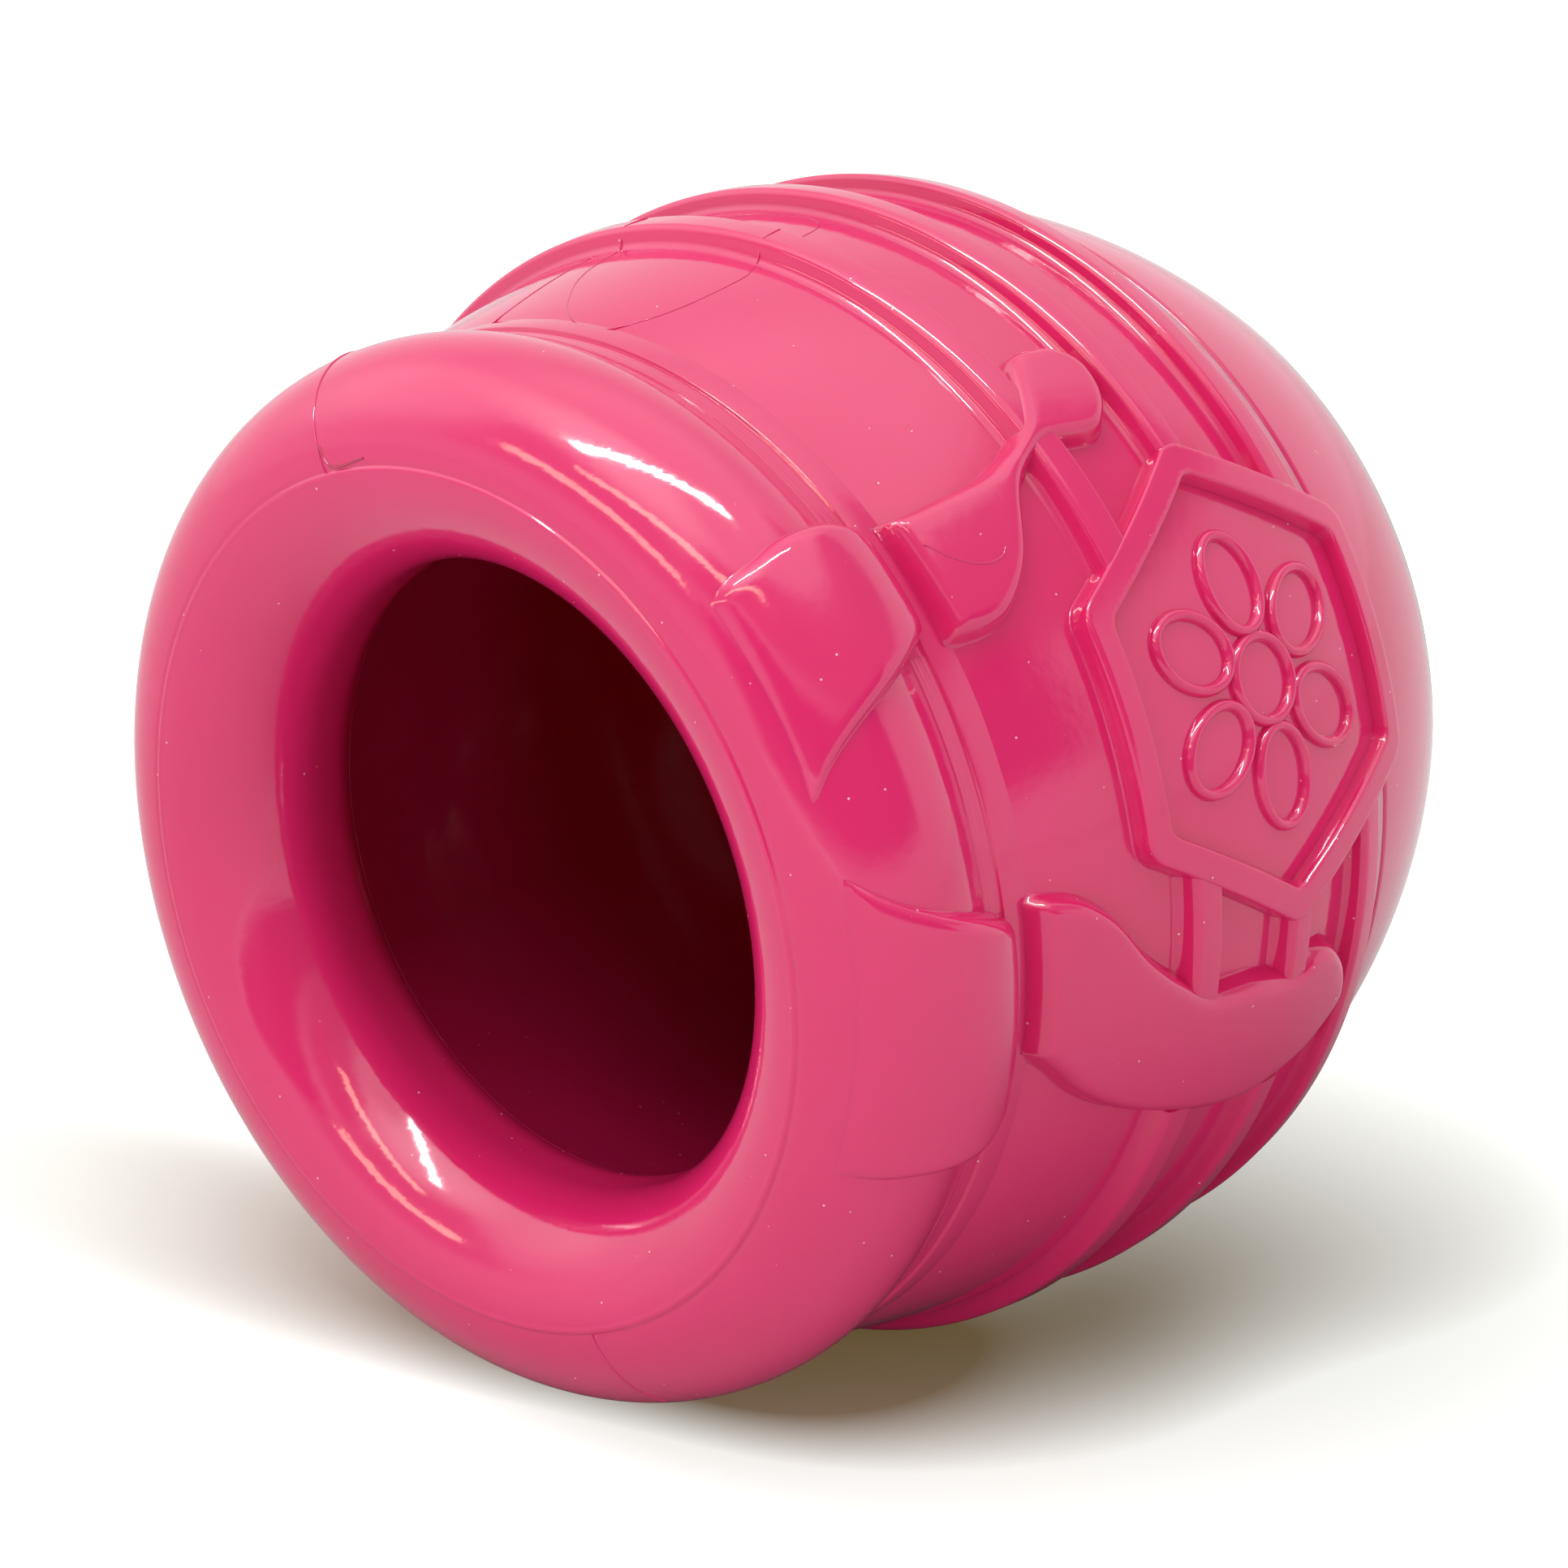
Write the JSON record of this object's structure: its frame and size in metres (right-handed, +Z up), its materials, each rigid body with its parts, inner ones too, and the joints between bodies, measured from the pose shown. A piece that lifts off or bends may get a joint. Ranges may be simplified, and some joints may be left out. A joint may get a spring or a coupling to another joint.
{
  "type": "rubber chew toy",
  "caption": "Hollow rubber treat pot for dogs, lying on its side, with a rolled lip, raised hoops, a hexagon frame with a flower and honey drips; food goes in at the mouth.",
  "frame": {"origin": "on the floor that the pot lies on, under the middle of its bounding box", "axes": "+Z up; +Y along the pot from its mouth to its base, level, with the pot's own axis rising by about 2 degrees towards the base; +X to the side with the hexagon"},
  "size_m": [0.0898, 0.0874, 0.089],
  "materials": {
    "pink_rubber": "glossy moulded rubber in hot pink"
  },
  "bodies": {
    "root": {"lip": "pink_rubber", "barrel": "pink_rubber", "base": "pink_rubber", "front_hoop": "pink_rubber", "middle_hoop": "pink_rubber", "rear_hoop": "pink_rubber", "hexagon_frame": "pink_rubber", "flower_emblem": "pink_rubber", "upper_honey_pad": "pink_rubber", "lower_honey_pad": "pink_rubber", "upper_honey_drip": "pink_rubber", "lower_honey_drip": "pink_rubber"}
  },
  "joints": []
}
